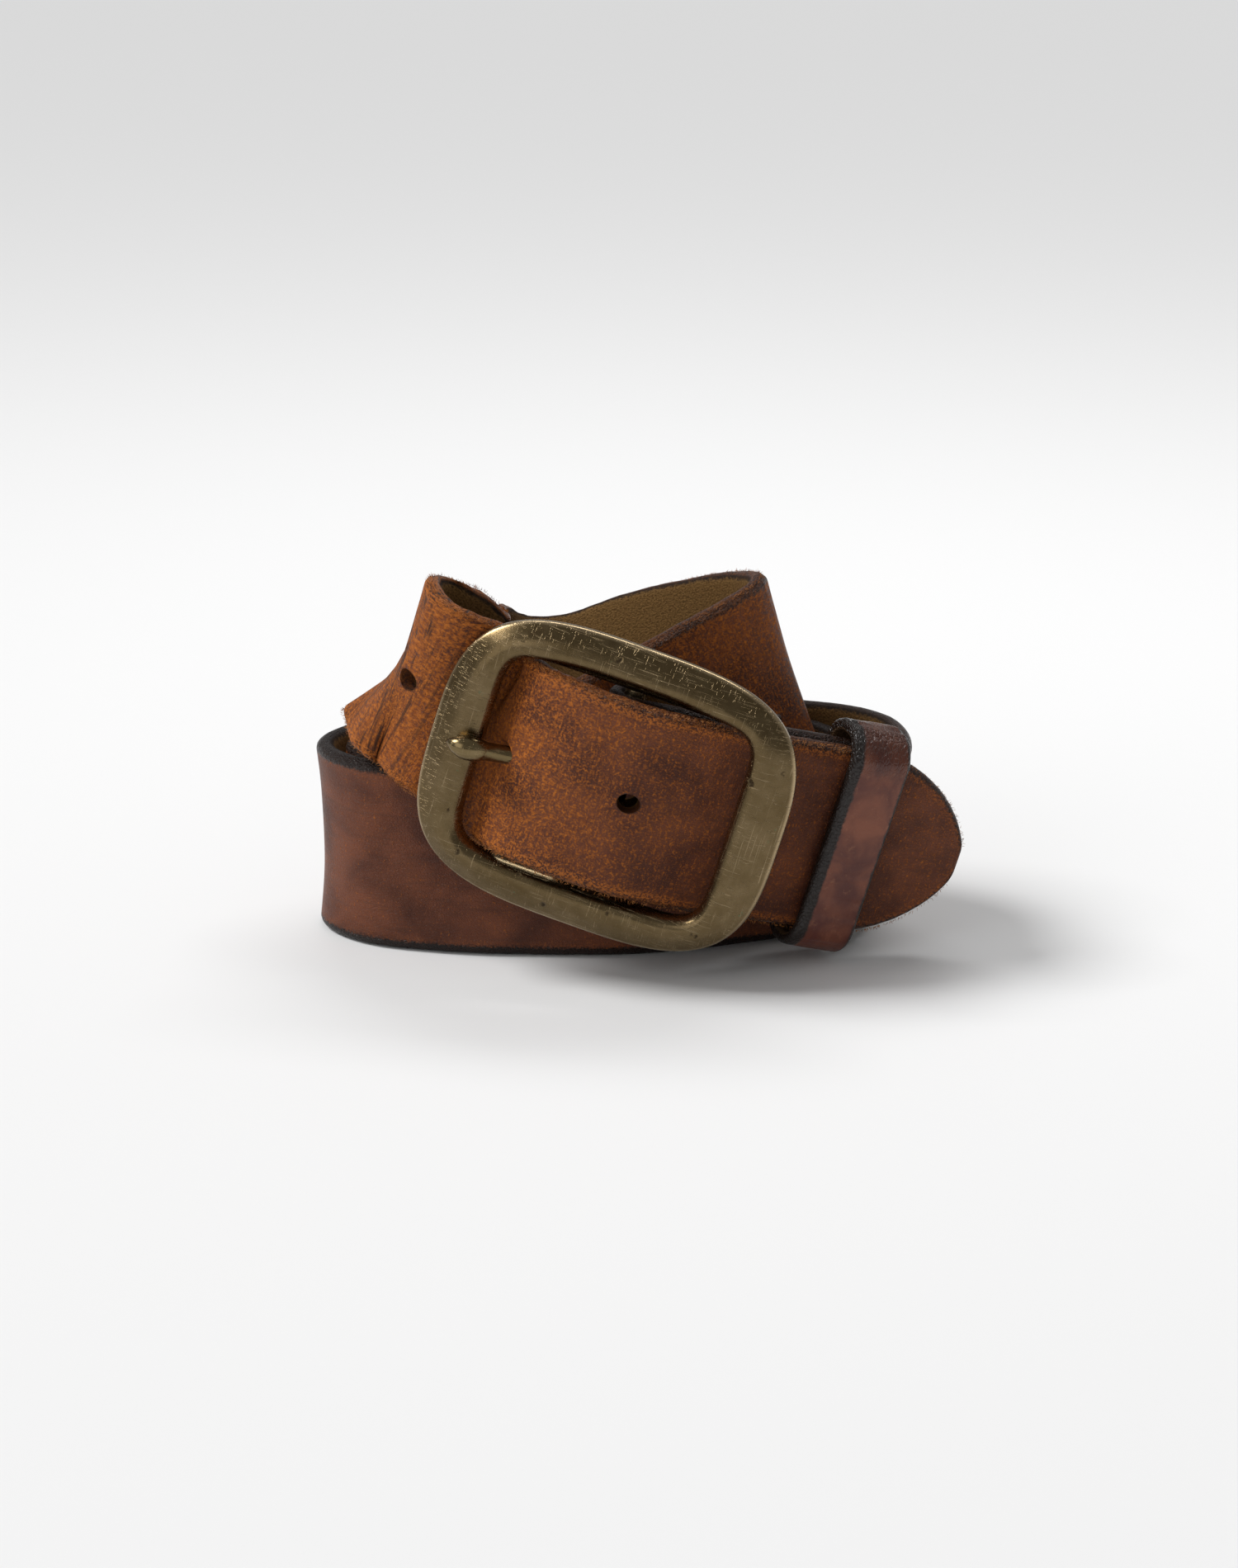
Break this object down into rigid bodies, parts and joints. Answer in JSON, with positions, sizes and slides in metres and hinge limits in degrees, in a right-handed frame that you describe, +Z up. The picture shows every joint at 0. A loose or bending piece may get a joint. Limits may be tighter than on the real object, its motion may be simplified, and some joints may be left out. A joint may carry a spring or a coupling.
{
  "type": "leather belt",
  "caption": "Coiled leather waist belt with a centre-bar frame buckle, a swinging prong, a sliding keeper loop and press studs that hold the folded buckle end.",
  "frame": {"origin": "middle of the bounding box's underside, on the surface that the coil stands on", "axes": "+Z up, along the width of the strap where the coil stands on its edge; the buckle faces -Y; +X points from the buckle to the strap's free tip"},
  "size_m": [0.1268, 0.0764, 0.0757],
  "materials": {
    "strap_leather": "worn brown full-grain leather with dark burnished edges and a suede flesh side",
    "keeper_leather": "smooth reddish-brown leather with dark burnished rims",
    "buckle_brass": "antique brass, scratched, with bright worn rims",
    "prong_brass": "antique brass, polished by wear",
    "stud_brass": "plain pressed brass, satin",
    "staple_steel": "plain wire, dull"
  },
  "bodies": {
    "strap": {"strap": "strap_leather", "lower_stud_cap": "stud_brass", "lower_stud_socket": "stud_brass", "lower_stud_stud": "stud_brass", "lower_stud_post": "stud_brass", "upper_stud_cap": "stud_brass", "upper_stud_socket": "stud_brass", "upper_stud_stud": "stud_brass", "upper_stud_post": "stud_brass"},
    "buckle": {"buckle_frame": "buckle_brass"},
    "prong": {"prong": "prong_brass"},
    "keeper": {"keeper_loop": "keeper_leather", "keeper_staple": "staple_steel"}
  },
  "joints": [
    {"name": "buckle_tilt", "type": "hinge", "parent": "strap", "child": "buckle", "pos_m": [-0.00647, -0.02748, 0.03895], "axis": [0.2924, 0, 0.9563], "range_deg": [0, 1.4]},
    {"name": "prong_hinge", "type": "hinge", "parent": "buckle", "child": "prong", "pos_m": [-0.00647, -0.02748, 0.03895], "axis": [0.2924, 0, 0.9563], "range_deg": [0, 4]},
    {"name": "keeper_slide", "type": "slide", "parent": "strap", "child": "keeper", "axis": [0.8986, 0.342, -0.2747], "range_m": [-0.006, 0]}
  ]
}
